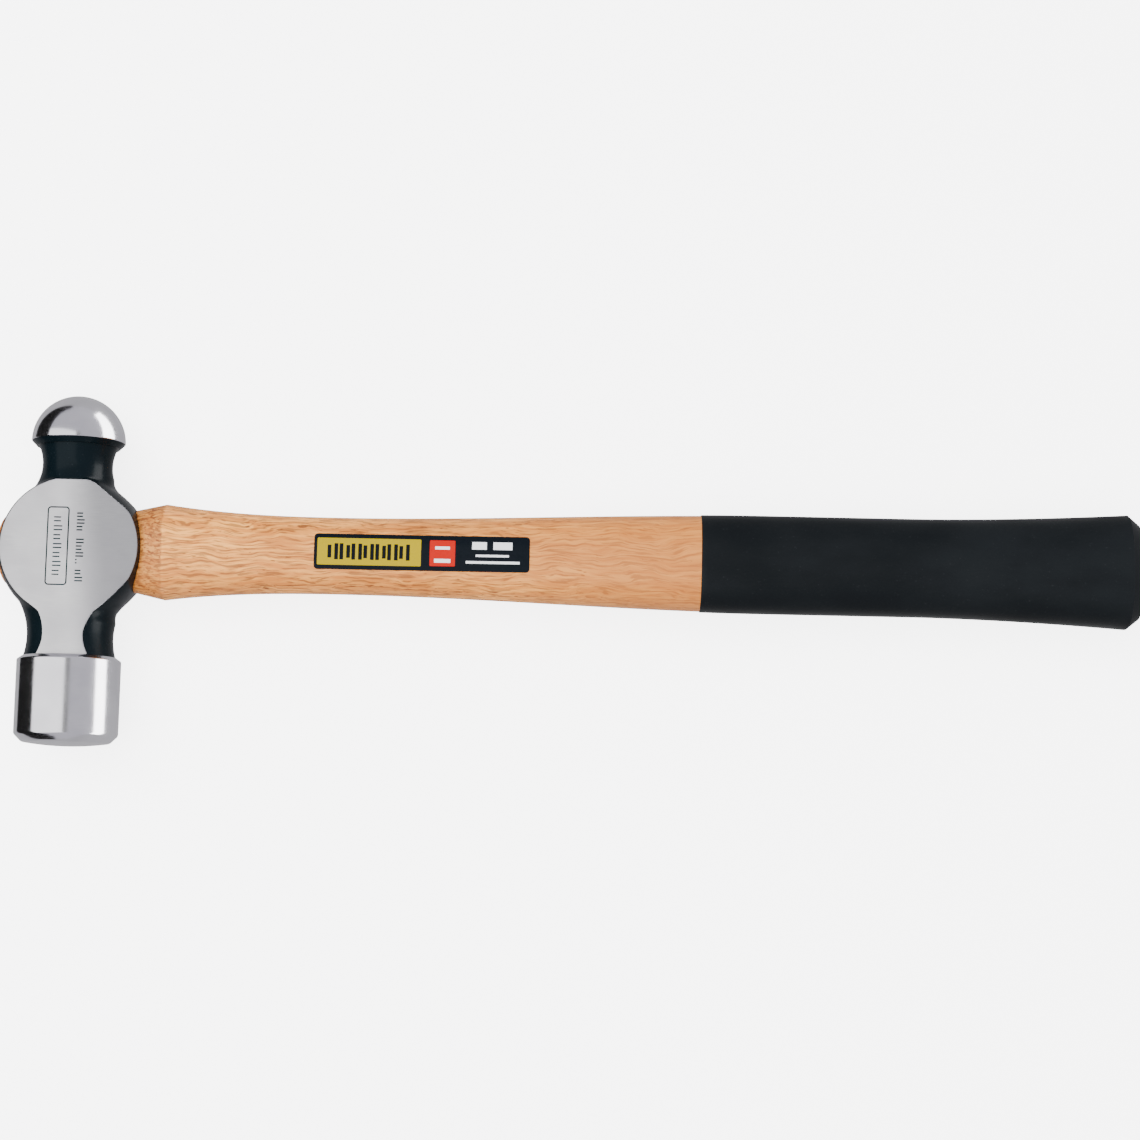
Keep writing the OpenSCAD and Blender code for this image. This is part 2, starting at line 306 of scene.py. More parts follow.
def eye_tool(name, grow, ends, material_index=0):
    """The slot's shape between two ends, grown all round."""
    bm = bmesh.new()
    vert = bm.verts.new((ends[0], 0, 0))
    for x in sorted({*ends, -eye_mouth, eye_mouth}):
        if ends[0] <= x <= ends[1]:
            flare = eye_slope * max(abs(x) - eye_mouth, 0)
            vert = path_to(bm, vert, x, eye_half_w + grow + flare)
    path_to(bm, vert, ends[1], 0)
    turned(bm, (1, 0, 0), 80)
    bmesh.ops.rotate(
        bm, verts=bm.verts[:], matrix=Matrix.Rotation(math.pi / 80, 3, "X"))
    for v in bm.verts:
        if abs(v.co.y) > 1e-5:
            v.co.y += math.copysign(eye_lift, v.co.y)
    for face in bm.faces:
        face.material_index = material_index
    return piece_of(bm, name)


combine(head, eye_tool("eye_cut", 0, (-eye_end, eye_end), 3))

# The stamp on the labelled cheek: a plain rounded outline beside plain short strokes.
stamp_depth = 0.00022
stamp_line = 0.00050


def stamp_ring(half_x, half_y, corner):
    """A closed groove round a rounded oblong."""
    bm = bmesh.new()
    bmesh.ops.create_grid(bm, x_segments=1, y_segments=1, size=1)
    for v in bm.verts:
        v.co.x, v.co.y, v.co.z = v.co.x * half_x, v.co.y * half_y, cheek_z - stamp_depth
    bmesh.ops.bevel(
        bm, geom=bm.verts[:], offset=corner, segments=8, profile=0.5, affect="VERTICES",
        material=-1)
    inner = bmesh.ops.inset_region(
        bm, faces=bm.faces[:], thickness=stamp_line, use_boundary=True, use_even_offset=True)
    middle = [f for f in bm.faces if f not in inner["faces"]]
    bmesh.ops.delete(bm, geom=middle, context="FACES")
    made = bmesh.ops.extrude_face_region(bm, geom=bm.faces[:], use_keep_orig=True)
    bmesh.ops.translate(
        bm, verts=[g for g in made["geom"] if isinstance(g, bmesh.types.BMVert)],
        vec=(0, 0, 2 * stamp_depth))
    bmesh.ops.recalc_face_normals(bm, faces=bm.faces[:])
    for face in bm.faces:
        face.material_index = 4
    return piece_of(bm, "stamp_ring")


ring_x = -0.0034
ring = stamp_ring(half_x=0.00405, half_y=0.01455, corner=0.0013)
ring.data.transform(Matrix.Translation((ring_x, 0, 0)))
combine(head, ring)
mark_x = 0.0034
mark_gap = 0.0006
mark_half = 0.00026
bars = []
for middle, width in (
        (-0.0122, 0.0029), (-0.0096, 0.0022), (-0.0056, 0.0006), (-0.0031, 0.0029),
        (-0.0006, 0.0022), (0.0019, 0.0029), (0.0066, 0.0022), (0.0091, 0.0029),
        (0.0116, 0.0022)):
    for side in (-1, 1):
        y = middle + side * mark_gap
        bars.append((
            (mark_x, y - mark_half, cheek_z - stamp_depth),
            (mark_x + width, y + mark_half, cheek_z + stamp_depth)))
tick_x = -0.0050
tick_end_x = -0.0018
tick_shorter = 0.0006
tick_pitch = 0.0033
tick_gap = 0.0007
tick_half = 0.00024
for step in range(-3, 4):
    for side in (-1, 1):
        y = step * tick_pitch + side * tick_gap
        bars.append((
            (tick_x, y - tick_half, cheek_z - stamp_depth),
            (tick_end_x - tick_shorter * (step % 2), y + tick_half,
             cheek_z + stamp_depth)))
combine(head, blocks("stamp_bars", bars, 4))
for face in head.data.polygons:
    face.use_smooth = abs(face.normal.z) < 0.9999
head.data.transform(Matrix.Translation(eye_centre))


def add(tree, kind, values=None, **settings):
    """Places a shader node, sets it, and feeds its inputs with sockets or values."""
    node = tree.nodes.new("ShaderNode" + kind)
    for key, value in settings.items():
        setattr(node, key, value)
    for key, value in (values or {}).items():
        if isinstance(value, bpy.types.NodeSocket):
            tree.links.new(value, node.inputs[key])
        else:
            node.inputs[key].default_value = value
    return node


def tint(red, green, blue):
    return red, green, blue, 1


def maths(tree, operation, a, b=0.0):
    return add(tree, "Math", {0: a, 1: b}, operation=operation).outputs[0]


def mixed(tree, mask, a, b):
    return add(tree, "Mix", {0: mask, 6: a, 7: b}, data_type="RGBA").outputs[2]


def between(tree, value, low, high, to_low=0.0, to_high=1.0):
    return add(
        tree, "MapRange",
        {"Value": value, "From Min": low, "From Max": high, "To Min": to_low,
         "To Max": to_high}, interpolation_type="SMOOTHSTEP").outputs["Result"]


def noise(tree, place, scale, stretch=(1, 1, 1), detail=3.0):
    """Noise with features 1 / scale long, in metres, drawn out by the stretch."""
    moved = add(tree, "Mapping", {"Vector": place, "Scale": stretch})
    return add(
        tree, "TexNoise",
        {"Vector": moved.outputs[0], "Scale": scale, "Detail": detail}).outputs["Fac"]


def new_finish(name, **constants):
    """A material with its Principled shader's plain values set on its own sockets."""
    material = bpy.data.materials.new(name)
    material.use_nodes = True
    tree = material.node_tree
    shader = tree.nodes["Principled BSDF"]
    for key, value in constants.items():
        shader.inputs[key.replace("_", " ")].default_value = value
    place = add(tree, "TexCoord").outputs["Object"]
    return material, tree, shader, place


def bump(tree, shader, height, distance, strength=1.0):
    made = add(tree, "Bump", {"Height": height, "Distance": distance, "Strength": strength})
    tree.links.new(made.outputs[0], shader.inputs["Normal"])


def effect(name, inputs, outputs):
    """An empty node group with named sockets, and its two ends."""
    group = bpy.data.node_groups.new(name, "ShaderNodeTree")
    for label, kind, default in inputs:
        socket = group.interface.new_socket(label, in_out="INPUT", socket_type="NodeSocket" + kind)
        if default is not None:
            socket.default_value = default
    for label, kind in outputs:
        group.interface.new_socket(label, in_out="OUTPUT", socket_type="NodeSocket" + kind)
    given = group.nodes.new("NodeGroupInput").outputs
    made = group.nodes.new("NodeGroupOutput").inputs
    return group, given, made


# Tool marks: fine lines that run one way, under slow cloudy patches.
tool_marks, given, made = effect(
    "Tool_marks",
    [("Place", "Vector", None), ("Stretch", "Vector", (1, 1, 1)), ("Fineness", "Float", 2000)],
    [("Lines", "Float"), ("Clouds", "Float")])
stretched = add(
    tool_marks, "VectorMath", {0: given["Place"], 1: given["Stretch"]}, operation="MULTIPLY")
lines = add(tool_marks, "TexNoise", {
    "Vector": stretched.outputs[0], "Scale": given["Fineness"], "Detail": 4})
clouds = add(tool_marks, "TexNoise", {"Vector": given["Place"], "Scale": 55, "Detail": 3})
tool_marks.links.new(lines.outputs["Fac"], made["Lines"])
tool_marks.links.new(clouds.outputs["Fac"], made["Clouds"])

# Handling: faint smudges and specks that dull a glossy surface here and there.
handling, given, made = effect(
    "Handling",
    [("Place", "Vector", None), ("Clean", "Float", 0.2), ("Smudged", "Float", 0.4)],
    [("Roughness", "Float"), ("Specks", "Float")])
smudge = between(handling, noise(handling, given["Place"], 38, detail=5), 0.42, 0.68)
handling.links.new(
    add(handling, "Mix", {0: smudge, 2: given["Clean"], 3: given["Smudged"]}).outputs[0],
    made["Roughness"])
handling.links.new(
    between(handling, noise(handling, given["Place"], 1400, detail=2), 0.68, 0.76),
    made["Specks"])


def use(tree, group, values):
    return add(tree, "Group", values, node_tree=group).outputs


def steel(name, stretch, fineness, bright, dark, clean, smudged, line_depth, painted_shade_side=None):
    """Bare steel with tool marks and faint handling, which may get a painted shade that darkens
    one side.
    """
    material, tree, shader, place = new_finish(name, Metallic=1.0)
    marks = use(tree, tool_marks, {"Place": place, "Stretch": stretch, "Fineness": fineness})
    tone = between(tree, marks["Clouds"], 0.3, 0.7)
    streak = between(tree, marks["Lines"], 0.35, 0.65)
    colour = mixed(tree, tone, dark, bright)
    colour = mixed(tree, maths(tree, "MULTIPLY", streak, 0.25), colour, dark)
    touched = use(tree, handling, {"Place": place, "Clean": clean, "Smudged": smudged})
    rough = maths(tree, "ADD", touched["Roughness"], maths(tree, "MULTIPLY", streak, 0.06))
    # Painted shade: across one side the colour darkens towards a dark grey, unevenly under the
    # clouds, and the roughness rises there as well.
    if painted_shade_side:
        start, turn, width, depth = painted_shade_side
        across = add(tree, "Mapping", {
            "Vector": place, "Location": start, "Rotation": (0, 0, turn)}).outputs[0]
        across = add(tree, "SeparateXYZ", {0: across}).outputs["X"]
        painted_shade = between(tree, across, 0.0, width)
        painted_shade = maths(tree, "MULTIPLY", painted_shade, between(tree, marks["Clouds"], 0.2, 0.6, 0.8, 1.0))
        colour = mixed(tree, maths(tree, "MULTIPLY", painted_shade, depth), colour, tint(0.16, 0.16, 0.18))
        rough = maths(tree, "ADD", rough, maths(tree, "MULTIPLY", painted_shade, 0.12))
    tree.links.new(colour, shader.inputs["Base Color"])
    tree.links.new(rough, shader.inputs["Roughness"])
    bump(tree, shader, marks["Lines"], line_depth, 0.5)
    return material


polished_steel = steel(
    "Polished_steel", stretch=(1, 14, 1), fineness=260, bright=tint(0.82, 0.81, 0.84),
    dark=tint(0.70, 0.69, 0.73), clean=0.12, smudged=0.18, line_depth=0.000004)
# The ground cheeks are darkened across one side by painted shade.
ground_steel = steel(
    "Ground_steel", stretch=(0.06, 1, 1), fineness=3200, bright=tint(0.74, 0.735, 0.74),
    dark=tint(0.62, 0.61, 0.63), clean=0.34, smudged=0.42, line_depth=0.000006, painted_shade_side=(
        (-(eye_centre.x - 0.001), -(eye_centre.y - 0.002), 0), math.radians(-6), 0.017, 0.62))
eye_steel = steel(
    "Eye_steel", stretch=(0.1, 1, 1), fineness=1500, bright=tint(0.22, 0.22, 0.23),
    dark=tint(0.12, 0.12, 0.13), clean=0.45, smudged=0.6, line_depth=0.00002)
stamped_steel = steel(
    "Stamped_steel", stretch=(1, 1, 1), fineness=2500, bright=tint(0.05, 0.075, 0.085),
    dark=tint(0.02, 0.03, 0.036), clean=0.5, smudged=0.65, line_depth=0.00001)

enamel, tree, shader, place = new_finish(
    "Black_enamel", Coat_Weight=0.02, Coat_Roughness=0.15, Specular_IOR_Level=0.07)
touched = use(tree, handling, {"Place": place, "Clean": 0.26, "Smudged": 0.38})
flow = noise(tree, place, 90, detail=4)
colour = mixed(tree, flow, tint(0.0012, 0.0034, 0.0048), tint(0.0030, 0.0066, 0.0088))
colour = mixed(
    tree, maths(tree, "MULTIPLY", touched["Specks"], 0.3), colour, tint(0.05, 0.06, 0.07))
tree.links.new(colour, shader.inputs["Base Color"])
tree.links.new(touched["Roughness"], shader.inputs["Roughness"])
bump(tree, shader, noise(tree, place, 420, detail=2), distance=0.00006, strength=0.35)

for finish in (polished_steel, ground_steel, enamel, eye_steel, stamped_steel):
    head.data.materials.append(finish)
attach(head, "root")
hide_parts("hammer_head")

# --- Handle --------------------------------------------------------------------------
# One piece of pale ring-porous hardwood, turned to an oval, sanded and lacquered. Its
# tenon fills the eye, where the wedges spread it, and its end is dipped for the grip.
handle_reach = 0.3966
ridge_x = boss_r + 0.007
waist_x = 0.099
swell_len = 0.156
flare_x = handle_reach - 0.085
butt_dome = 0.0008
butt_bevel = 0.0043
butt_bevel_in = 0.0035
butt_x = handle_reach - butt_dome - butt_bevel
grip_x = handle_reach - 0.1635
core_x = handle_reach - 0.0014
core_end_x = core_x - 0.00003
section_power = 2.35
handle_heights = (0.0326, 0.0357, 0.0286, 0.0361, 0.0421)
handle_thicknesses = (0.0220, 0.0254, 0.0216, 0.0270, 0.0314)
tenon_root_x = boss_r + 0.002
tenon_proud = 0.0004
grow_code = 0.01
core_code = grow_code - 0.00063
slit_y = 0.0058


def clamp01(t):
    return min(1.0, max(0.0, t))


def handle_half(x, sizes):
    """Half the handle's height or thickness at a distance from the eye's centre."""
    shoulder, ridge, waist, grip, butt = sizes
    if x < ridge_x:
        size = shoulder + (ridge - shoulder) * (x - boss_r) / (ridge_x - boss_r)
    elif x < waist_x:
        size = waist + (ridge - waist) * (1 - (x - ridge_x) / (waist_x - ridge_x)) ** 2.55
    else:
        t = clamp01((x - waist_x) / swell_len)
        size = waist + (grip - waist) * t * t * (3 - 2 * t)
    size += (butt - grip) * clamp01((x - flare_x) / (butt_x - flare_x)) ** 1.75
    bevel = butt_bevel_in * clamp01((x - butt_x) / butt_bevel)
    dome = math.sqrt(1 - 0.9 * clamp01((x - butt_x - butt_bevel) / butt_dome))
    return dome * (size / 2 - bevel)


def oval(power):
    return math.copysign(abs(power) ** (2 / section_power), power)


def handle_shaped(bm, steps):
    """Spins a path about the handle's axis and presses it to the oval section. The path's
    distance from the axis tells how far a vertex stands off the handle's surface."""
    turned(bm, (1, 0, 0), steps)
    for v in bm.verts:
        code = math.hypot(v.co.y, v.co.z)
        if code < 1e-5:
            continue
        angle = math.atan2(v.co.z, v.co.y)
        grow = code - grow_code
        v.co.y = (handle_half(v.co.x, handle_heights) + grow) * oval(math.cos(angle))
        v.co.z = (handle_half(v.co.x, handle_thicknesses) + grow) * oval(math.sin(angle))


def run_to(bm, vert, x, y, step):
    """Draws a straight run of edges, each about one step long."""
    start = vert.co.copy()
    count = max(1, round(abs(x - start.x) / step))
    for i in range(1, count + 1):
        t = i / count
        vert = path_to(bm, vert, start.x + (x - start.x) * t, start.y + (y - start.y) * t)
    return vert


def disc_tool(name, grow, stretch):
    """The round eye section's shape, grown, and drawn out towards the handle."""
    bm = bmesh.new()
    vert = bm.verts.new((0, -0.02, 0))
    for step in range(41):
        z = -0.02 + step * 0.001
        vert = path_to(bm, vert, boss_reach(z, grow), z)
    path_to(bm, vert, 0, 0.02)
    turned(bm, (0, 1, 0), 160)
    bmesh.ops.rotate(bm, verts=bm.verts[:], matrix=Matrix.Rotation(math.pi / 2, 3, "X"))
    for v in bm.verts:
        v.co.x *= stretch if v.co.x > 0 else 1
    return piece_of(bm, name)


def wedge_tool(name, length, thick, tip, width):
    """A driven wedge's shape, thick end at the far face of the head."""
    bm = bmesh.new()
    bmesh.ops.create_cube(bm, size=2)
    end_x = -boss_r - tenon_proud - 0.001
    slope = (thick - tip) / 2 / length
    for v in bm.verts:
        v.co.x = end_x if v.co.x < 0 else length - boss_r
        half = tip / 2 + slope * (length - boss_r - v.co.x)
        v.co.y *= width / 2
        v.co.z *= half
    return piece_of(bm, name)


bm = bmesh.new()
vert = bm.verts.new((boss_r / 2, 0, 0))
vert = path_to(bm, vert, boss_r / 2, grow_code)
vert = run_to(bm, vert, ridge_x, grow_code, step=0.001)
vert = run_to(bm, vert, ridge_x + 0.02, grow_code, step=0.0011)
vert = run_to(bm, vert, grip_x, grow_code, step=0.0025)
vert = path_to(bm, vert, grip_x, core_code)
vert = run_to(bm, vert, butt_x, core_code, step=0.004)
vert = path_to(bm, vert, core_end_x, core_code)
path_to(bm, vert, core_end_x, 0)
handle_shaped(bm, 112)
handle = piece_of(bm, "Handle")
combine(handle, disc_tool("head_seat", grow=0.00015, stretch=1.0))
tenon = eye_tool("tenon", grow=-0.00008, ends=(-boss_r - 0.002, tenon_root_x))
combine(tenon, disc_tool("tenon_trim", grow=tenon_proud, stretch=1.5), "INTERSECT")
combine(handle, tenon, "UNION")
combine(handle, wedge_tool("kerf", length=0.034, thick=0.0044, tip=0.0012, width=0.0548))
for side in (-1, 1):
    slit = wedge_tool("slit", length=0.019, thick=0.0026, tip=0.0005, width=0.0116)
    slit.data.transform(
        Matrix.Translation((0, side * slit_y, 0)) @ Matrix.Rotation(math.pi / 2, 4, "X"))
    combine(handle, slit)

# Where the seat and the tenon cross, the cuts leave slivers with no area. They are welded.
weld = 2e-6
sliver_area = 1e-14
bm = bmesh.new()
bm.from_mesh(handle.data)
bmesh.ops.remove_doubles(bm, verts=bm.verts[:], dist=weld)
bmesh.ops.dissolve_degenerate(bm, dist=weld, edges=bm.edges[:])
bmesh.ops.triangulate(bm, faces=bm.faces[:])
sliver_edges = {e for f in bm.faces if f.calc_area() < sliver_area for e in f.edges}
bmesh.ops.dissolve_degenerate(bm, dist=2 * weld, edges=list(sliver_edges))
bm.to_mesh(handle.data)
bm.free()
for face in handle.data.polygons:
    face.material_index = int(face.center.x < 0.5 * -boss_r and face.normal.x < -0.5)
handle.data.transform(Matrix.Translation(eye_centre))

# Wood: rings about a far pith, fibres along X, open pores as short dashes.
wood_grain, given, made = effect(
    "Wood_grain",
    [("Place", "Vector", None), ("Ring gap", "Float", 0.004), ("Cream", "Color", None),
     ("Tan", "Color", None), ("Rust", "Color", None), ("Brown", "Color", None)],
    [("Colour", "Color"), ("Pores", "Float"), ("Fibres", "Float")])
sway = noise(wood_grain, given["Place"], 75, (0.7, 1, 1), 2.0)
drift = maths(wood_grain, "MULTIPLY", maths(wood_grain, "SUBTRACT", sway, 0.5), 0.0085)
waved = add(wood_grain, "VectorMath", {0: given["Place"], 1: add(
    wood_grain, "CombineXYZ", {"Y": drift}).outputs[0]}, operation="ADD").outputs[0]
split = add(wood_grain, "SeparateXYZ", {0: waved}).outputs
across = maths(wood_grain, "SUBTRACT", split["Y"], 0.002)
below = maths(wood_grain, "ADD", split["Z"], 0.030)
ring = maths(wood_grain, "SQRT", maths(
    wood_grain, "ADD", maths(wood_grain, "MULTIPLY", across, across),
    maths(wood_grain, "MULTIPLY", below, below)))
ring = maths(wood_grain, "FRACT", maths(wood_grain, "DIVIDE", ring, given["Ring gap"]))
early = between(wood_grain, ring, 0.62, 1.0)
fibres = noise(wood_grain, waved, 800, (0.075, 1, 1), 6.0)
lines = noise(wood_grain, waved, 1500, (0.07, 1, 1), 4.0)
pore_field = noise(wood_grain, waved, 1350, (0.15, 1, 1), 2.0)
pore_limit = maths(wood_grain, "SUBTRACT", 0.685, maths(wood_grain, "MULTIPLY", early, 0.09))
pores = between(wood_grain, maths(wood_grain, "SUBTRACT", pore_field, pore_limit), 0.0, 0.05)
clouds = between(wood_grain, noise(wood_grain, given["Place"], 30, (0.4, 1, 1), 3.0), 0.42, 0.66)
colour = mixed(wood_grain, between(wood_grain, fibres, 0.36, 0.62), given["Cream"], given["Tan"])
colour = mixed(wood_grain, maths(wood_grain, "MULTIPLY", clouds, 0.45), colour, given["Rust"])
colour = mixed(wood_grain, maths(wood_grain, "MULTIPLY", early, 0.30), colour, given["Rust"])
colour = mixed(wood_grain, maths(wood_grain, "MULTIPLY", between(
    wood_grain, lines, 0.50, 0.61), 0.60), colour, given["Brown"])
colour = mixed(wood_grain, maths(wood_grain, "MULTIPLY", pores, 0.8), colour, given["Brown"])
for label, socket in (("Colour", colour), ("Pores", pores), ("Fibres", fibres)):
    wood_grain.links.new(socket, made[label])

lacquered_wood, tree, shader, place = new_finish(
    "Lacquered_wood", Coat_Weight=0.12, Coat_Roughness=0.24, Specular_IOR_Level=0.2)
centred = add(tree, "Mapping", {
    "Vector": place, "Location": tuple(-eye_centre)}).outputs[0]
grain = use(tree, wood_grain, {
    "Place": centred, "Ring gap": 0.0050, "Cream": tint(0.90, 0.395, 0.085),
    "Tan": tint(0.60, 0.215, 0.037), "Rust": tint(0.40, 0.120, 0.018),
    "Brown": tint(0.13, 0.037, 0.007)})
split = add(tree, "SeparateXYZ", {0: centred}).outputs
along = split["X"]
# The shoulder between the head and the ridge is darkened, with specks. This is partly the wood's
# own colour where it is cut across the grain and partly painted shade. The painted shade is
# stronger on the ball side than on the poll side.
ragged = maths(tree, "ADD", along, maths(tree, "MULTIPLY", noise(
    tree, centred, 300, detail=3), 0.002))
near_head = between(tree, ragged, ridge_x + 0.0014, ridge_x + 0.0004)
specks = between(tree, noise(tree, centred, 900, (0.5, 1, 1), 3.0), 0.52, 0.64)
shoulder_painted_shade = maths(tree, "MULTIPLY", maths(tree, "ADD", 0.46, maths(
    tree, "MULTIPLY", specks, 0.50)), between(tree, split["Y"], -0.015, 0.001, 0.45, 1.0))
darker = mixed(tree, shoulder_painted_shade, grain["Colour"], tint(0.17, 0.048, 0.011))
colour = mixed(tree, near_head, grain["Colour"], darker)
colour = mixed(tree, between(tree, along, 0.13, 0.21, 0.0, 0.60), colour, tint(0.40, 0.13, 0.024))
tree.links.new(colour, shader.inputs["Base Color"])
touched = use(tree, handling, {"Place": centred, "Clean": 0.36, "Smudged": 0.48})
tree.links.new(
    maths(tree, "ADD", touched["Roughness"], maths(tree, "MULTIPLY", grain["Pores"], 0.2)),
    shader.inputs["Roughness"])
bump(tree, shader, maths(tree, "SUBTRACT", maths(tree, "MULTIPLY", grain["Fibres"], 0.35),
                         grain["Pores"]), distance=0.00008, strength=0.6)

end_grain, tree, shader, place = new_finish("Sawn_end_grain", Specular_IOR_Level=0.3)
centred = add(tree, "Mapping", {
    "Vector": place, "Location": tuple(-eye_centre)}).outputs[0]
grain = use(tree, wood_grain, {
    "Place": centred, "Ring gap": 0.0024, "Cream": tint(0.42, 0.19, 0.066),
    "Tan": tint(0.31, 0.13, 0.042), "Rust": tint(0.20, 0.072, 0.021),
    "Brown": tint(0.07, 0.024, 0.008)})
tree.links.new(grain["Colour"], shader.inputs["Base Color"])
saw = noise(tree, centred, 700, (1, 0.1, 1), 3.0)
tree.links.new(between(tree, saw, 0.3, 0.7, 0.62, 0.8), shader.inputs["Roughness"])
bump(tree, shader, saw, distance=0.0001, strength=0.6)

handle.data.materials.append(lacquered_wood)
handle.data.materials.append(end_grain)
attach(handle, "root")
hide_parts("handle")

# --- Wooden wedge --------------------------------------------------------------------
# A strip of darker hardwood, glued and driven into the saw kerf, then sawn off flush.
wedge_wood, tree, shader, place = new_finish("Wedge_wood", Specular_IOR_Level=0.3)
turned_place = add(tree, "Mapping", {
    "Vector": place, "Location": tuple(-eye_centre), "Scale": (1, 0.6, 1.4)}).outputs[0]
grain = use(tree, wood_grain, {
    "Place": turned_place, "Ring gap": 0.0016, "Cream": tint(0.17, 0.068, 0.022),
    "Tan": tint(0.12, 0.045, 0.014), "Rust": tint(0.08, 0.027, 0.008),
    "Brown": tint(0.03, 0.010, 0.004)})
tree.links.new(grain["Colour"], shader.inputs["Base Color"])
saw = noise(tree, turned_place, 800, (1, 0.1, 1), 3.0)
tree.links.new(between(tree, saw, 0.3, 0.7, 0.6, 0.8), shader.inputs["Roughness"])
bump(tree, shader, saw, distance=0.0001, strength=0.6)
wooden_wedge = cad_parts["wooden_wedge"]
wooden_wedge.data.materials.clear()
wooden_wedge.data.materials.append(wedge_wood)

# --- Steel wedges --------------------------------------------------------------------
# Two stamped mild steel wedges, driven across the wooden one and dulled by the hammer.
wedge_steel = steel(
    "Wedge_steel", stretch=(1, 0.3, 1), fineness=900, bright=tint(0.33, 0.32, 0.31),
    dark=tint(0.16, 0.14, 0.13), clean=0.42, smudged=0.62, line_depth=0.00006)
steel_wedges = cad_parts["steel_wedges"]
steel_wedges.data.materials.clear()
steel_wedges.data.materials.append(wedge_steel)

# --- Grip ----------------------------------------------------------------------------
# A smooth black vinyl dip over the last third of the handle. It ends in a thin rolled lip
# on the wood and closes over the bevelled butt.
grip_out = grow_code + 0.0003
grip_in = grow_code - 0.0006
lip_roll = 0.00028
bm = bmesh.new()
vert = bm.verts.new((core_x, 0, 0))
vert = path_to(bm, vert, core_x, grip_in)
vert = path_to(bm, vert, butt_x, grip_in)
vert = run_to(bm, vert, grip_x, grip_in, step=0.004)
vert = path_to(bm, vert, grip_x, grip_out)
lip = vert
vert = run_to(bm, vert, butt_x, grip_out, step=0.0025)
vert = run_to(bm, vert, butt_x + butt_bevel, grip_out, step=0.0008)
for step in range(1, 9):
    vert = path_to(bm, vert, butt_x + butt_bevel + butt_dome * step / 8, grip_out)
path_to(bm, vert, handle_reach, 0)
bmesh.ops.bevel(
    bm, geom=[lip], offset=lip_roll, segments=4, profile=0.5, affect="VERTICES",
    material=-1)
handle_shaped(bm, 112)
bmesh.ops.translate(bm, verts=bm.verts[:], vec=eye_centre)
grip = piece_of(bm, "Grip")

dipped_vinyl, tree, shader, place = new_finish("Dipped_vinyl", Specular_IOR_Level=0.13)
touched = use(tree, handling, {"Place": place, "Clean": 0.38, "Smudged": 0.50})
cloud = noise(tree, place, 45, (0.5, 1, 1), 4.0)
colour = mixed(
    tree, between(tree, cloud, 0.3, 0.7),
    tint(0.0024, 0.0034, 0.0042), tint(0.0050, 0.0064, 0.0074))
colour = mixed(
    tree, maths(tree, "MULTIPLY", touched["Specks"], 0.25), colour, tint(0.04, 0.043, 0.047))
tree.links.new(colour, shader.inputs["Base Color"])
tree.links.new(touched["Roughness"], shader.inputs["Roughness"])
bump(tree, shader, maths(tree, "ADD", noise(tree, place, 1100, detail=2), maths(
    tree, "MULTIPLY", noise(tree, place, 160, (0.5, 1, 1), 2.0), 1.5)),
    distance=0.00005, strength=0.45)
grip.data.materials.append(dipped_vinyl)
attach(grip, "root")
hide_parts("grip_sleeve")

# --- Label ---------------------------------------------------------------------------
# A printed gloss film with rounded corners, stuck on the upper side of the bare wood:
# black, with a yellow panel, a red square and plain white bars in place of its text.
label_len = 0.0794
label_h = 0.0131
label_corner = 0.0013
label_t = 0.0002
label_lift = 0.0005
film_gap = 0.00003
label_x = (ridge_x + grip_x) / 2 - 0.0036
bm = bmesh.new()
bmesh.ops.create_grid(bm, x_segments=150, y_segments=26, size=1)
for v in bm.verts:
    x, y = v.co.x * label_len / 2, v.co.y * label_h / 2
    out_x = abs(x) - (label_len / 2 - label_corner)
    out_y = abs(y) - (label_h / 2 - label_corner)
    if out_x > 0 and out_y > 0:
        share = max(out_x, out_y) / math.hypot(out_x, out_y)
        x = math.copysign(label_len / 2 - label_corner + out_x * share, x)
        y = math.copysign(label_h / 2 - label_corner + out_y * share, y)
    v.co.x, v.co.y = x + label_x, y + label_lift
    half_h = handle_half(v.co.x, handle_heights) + film_gap
    half_t = handle_half(v.co.x, handle_thicknesses) + film_gap
    v.co.z = half_t * (1 - abs(v.co.y / half_h) ** section_power) ** (1 / section_power)
bmesh.ops.recalc_face_normals(bm, faces=bm.faces[:])
if sum(f.normal.z for f in bm.faces) < 0:
    bmesh.ops.reverse_faces(bm, faces=bm.faces[:])
bmesh.ops.solidify(bm, geom=bm.faces[:], thickness=-label_t)
bmesh.ops.recalc_face_normals(bm, faces=bm.faces[:])
bmesh.ops.translate(bm, verts=bm.verts[:], vec=eye_centre)
label = piece_of(bm, "Label")

# A printed panel: a rounded oblong with slightly soft edges.
print_panel, given, made = effect(
    "Print_panel",
    [("Place", "Vector", None), ("Left", "Float", 0), ("Right", "Float", 0.01),
     ("Low", "Float", 0), ("High", "Float", 0.01), ("Corner", "Float", 0.0003)],
    [("Mask", "Float")])
split = add(print_panel, "SeparateXYZ", {0: given["Place"]}).outputs
outs = []
for axis, low, high in (("X", "Left", "Right"), ("Y", "Low", "High")):
    middle = maths(print_panel, "MULTIPLY", maths(
        print_panel, "ADD", given[low], given[high]), 0.5)
    half = maths(print_panel, "MULTIPLY", maths(
        print_panel, "SUBTRACT", given[high], given[low]), 0.5)
    off = maths(print_panel, "ABSOLUTE", maths(print_panel, "SUBTRACT", split[axis], middle))
    outs.append(maths(print_panel, "ADD", maths(
        print_panel, "SUBTRACT", off, half), given["Corner"]))
rounds = [maths(print_panel, "MAXIMUM", out, 0.0) for out in outs]
length = maths(print_panel, "SQRT", maths(
    print_panel, "ADD", maths(print_panel, "MULTIPLY", rounds[0], rounds[0]),
    maths(print_panel, "MULTIPLY", rounds[1], rounds[1])))
distance = maths(print_panel, "SUBTRACT", length, given["Corner"])
print_panel.links.new(between(print_panel, distance, 0.00005, -0.00005), made["Mask"])

